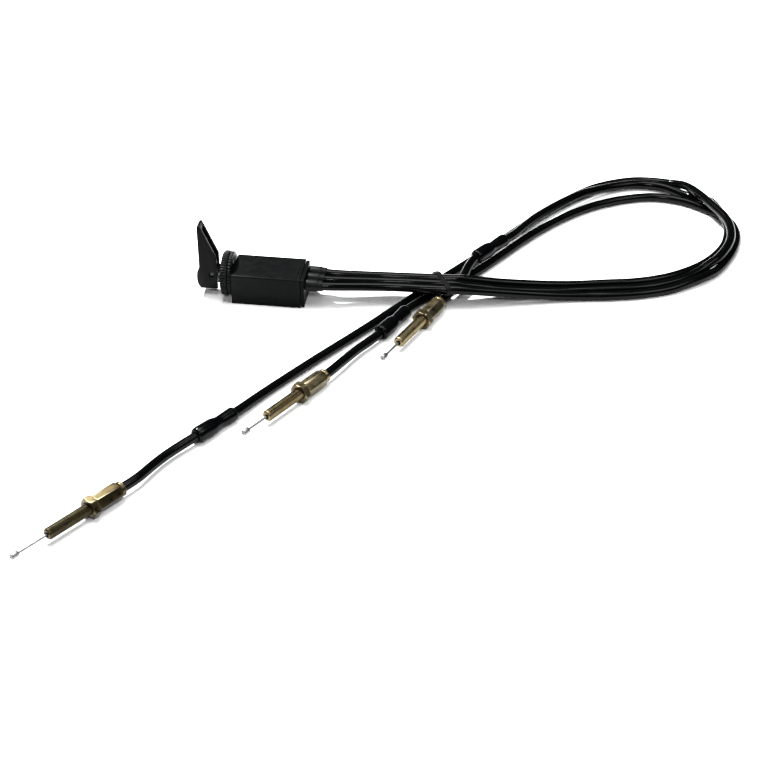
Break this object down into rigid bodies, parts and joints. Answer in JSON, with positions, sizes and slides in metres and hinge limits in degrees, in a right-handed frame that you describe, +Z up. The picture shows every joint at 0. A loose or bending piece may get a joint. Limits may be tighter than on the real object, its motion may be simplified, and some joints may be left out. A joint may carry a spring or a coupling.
{
  "type": "lever-operated triple cable starter control",
  "caption": "Flip-lever control box with a ridged panel nut, pulling sheathed cables that end in threaded adjusters and wire barrels.",
  "frame": {"origin": "centre of the housing's base face", "axes": "+X along the housing from the lever to the cables, +Z up, +Y to the left looking along +X"},
  "size_m": [0.3357, 0.3871, 0.0428],
  "materials": {
    "housing_plastic": "fine moulded texture, near black",
    "lever_plastic": "satin moulded, near black",
    "nut_plastic": "matte, knurled",
    "conduit_pvc": "glossy extruded sheath, black",
    "sleeve_shrink": "glossy shrunk tubing, black",
    "boot_rubber": "moulded strain relief, black",
    "tie_nylon": "black nylon",
    "plated_steel": "yellow passivated zinc plate",
    "wire_steel": "bright stranded wire",
    "barrel_zinc": "cast zinc, dull grey",
    "pin_steel": "plain steel pin",
    "carrier_nylon": "natural nylon"
  },
  "bodies": {
    "housing": {"housing_shell": "housing_plastic", "end_cap": "housing_plastic", "cable_boot_1": "boot_rubber", "cable_boot_2": "boot_rubber", "cable_boot_3": "boot_rubber", "conduit_1": "conduit_pvc", "conduit_2": "conduit_pvc", "conduit_3": "conduit_pvc", "sleeve_1": "sleeve_shrink", "sleeve_2": "sleeve_shrink", "sleeve_3": "sleeve_shrink", "cable_tie": "tie_nylon"},
    "washer": {"lock_washer": "nut_plastic"},
    "nut": {"panel_nut": "nut_plastic"},
    "pull": {"pull_rod": "pin_steel", "cable_carrier": "carrier_nylon", "pull_wire_1": "wire_steel", "pull_wire_2": "wire_steel", "pull_wire_3": "wire_steel"},
    "lever": {"lever": "lever_plastic", "pivot_pin": "pin_steel"},
    "adjuster_1_body": {"adjuster_1": "plated_steel"},
    "jam_nut_1_body": {"jam_nut_1": "plated_steel"},
    "tail_1_body": {"wire_tail_1": "wire_steel", "barrel_1": "barrel_zinc"},
    "adjuster_2_body": {"adjuster_2": "plated_steel"},
    "jam_nut_2_body": {"jam_nut_2": "plated_steel"},
    "tail_2_body": {"wire_tail_2": "wire_steel", "barrel_2": "barrel_zinc"},
    "adjuster_3_body": {"adjuster_3": "plated_steel"},
    "jam_nut_3_body": {"jam_nut_3": "plated_steel"},
    "tail_3_body": {"wire_tail_3": "wire_steel", "barrel_3": "barrel_zinc"}
  },
  "joints": [
    {"name": "pull_slide", "type": "slide", "parent": "housing", "child": "pull", "axis": [-1, 0, 0], "range_m": [0, 0.0057]},
    {"name": "lever_hinge", "type": "hinge", "parent": "pull", "child": "lever", "pos_m": [-0.0313, 0, 0.0126], "axis": [0, -1, 0], "range_deg": [0, 90]},
    {"name": "washer_slide", "type": "slide", "parent": "housing", "child": "washer", "axis": [-1, 0, 0], "range_m": [0, 0.0015]},
    {"name": "nut_spin", "type": "hinge", "parent": "washer", "child": "nut", "pos_m": [-0.0235, 0, 0.0126], "axis": [-1, 0, 0], "range_deg": [0, 360]},
    {"name": "adjuster_1_spin", "type": "hinge", "parent": "housing", "child": "adjuster_1_body", "pos_m": [-0.04928, -0.19722, 0.00505], "axis": [-0.5693, -0.8221, 0], "continuous": true},
    {"name": "jam_nut_1_slide", "type": "slide", "parent": "adjuster_1_body", "child": "jam_nut_1_body", "axis": [-0.5693, -0.8221, 0], "range_m": [0, 0.0235]},
    {"name": "tail_1_slide", "type": "slide", "parent": "adjuster_1_body", "child": "tail_1_body", "axis": [0.5693, 0.8221, 0], "range_m": [0, 0.0057]},
    {"name": "adjuster_2_spin", "type": "hinge", "parent": "housing", "child": "adjuster_2_body", "pos_m": [0.03248, -0.09571, 0.00505], "axis": [-0.518, -0.8554, 0], "continuous": true},
    {"name": "jam_nut_2_slide", "type": "slide", "parent": "adjuster_2_body", "child": "jam_nut_2_body", "axis": [-0.518, -0.8554, 0], "range_m": [0, 0.0235]},
    {"name": "tail_2_slide", "type": "slide", "parent": "adjuster_2_body", "child": "tail_2_body", "axis": [0.518, 0.8554, 0], "range_m": [0, 0.0057]},
    {"name": "adjuster_3_spin", "type": "hinge", "parent": "housing", "child": "adjuster_3_body", "pos_m": [0.08651, -0.02191, 0.00505], "axis": [-0.3955, -0.9184, 0], "continuous": true},
    {"name": "jam_nut_3_slide", "type": "slide", "parent": "adjuster_3_body", "child": "jam_nut_3_body", "axis": [-0.3955, -0.9184, 0], "range_m": [0, 0.0235]},
    {"name": "tail_3_slide", "type": "slide", "parent": "adjuster_3_body", "child": "tail_3_body", "axis": [0.3955, 0.9184, 0], "range_m": [0, 0.0057]}
  ],
  "couplings": [
    {"joint": "pull_slide", "follows": "lever_hinge", "m_per_rad": 0.0036287},
    {"joint": "washer_slide", "follows": "nut_spin", "m_per_rad": 0.00023873},
    {"joint": "tail_1_slide", "follows": "lever_hinge", "m_per_rad": 0.0036287},
    {"joint": "tail_2_slide", "follows": "lever_hinge", "m_per_rad": 0.0036287},
    {"joint": "tail_3_slide", "follows": "lever_hinge", "m_per_rad": 0.0036287}
  ]
}
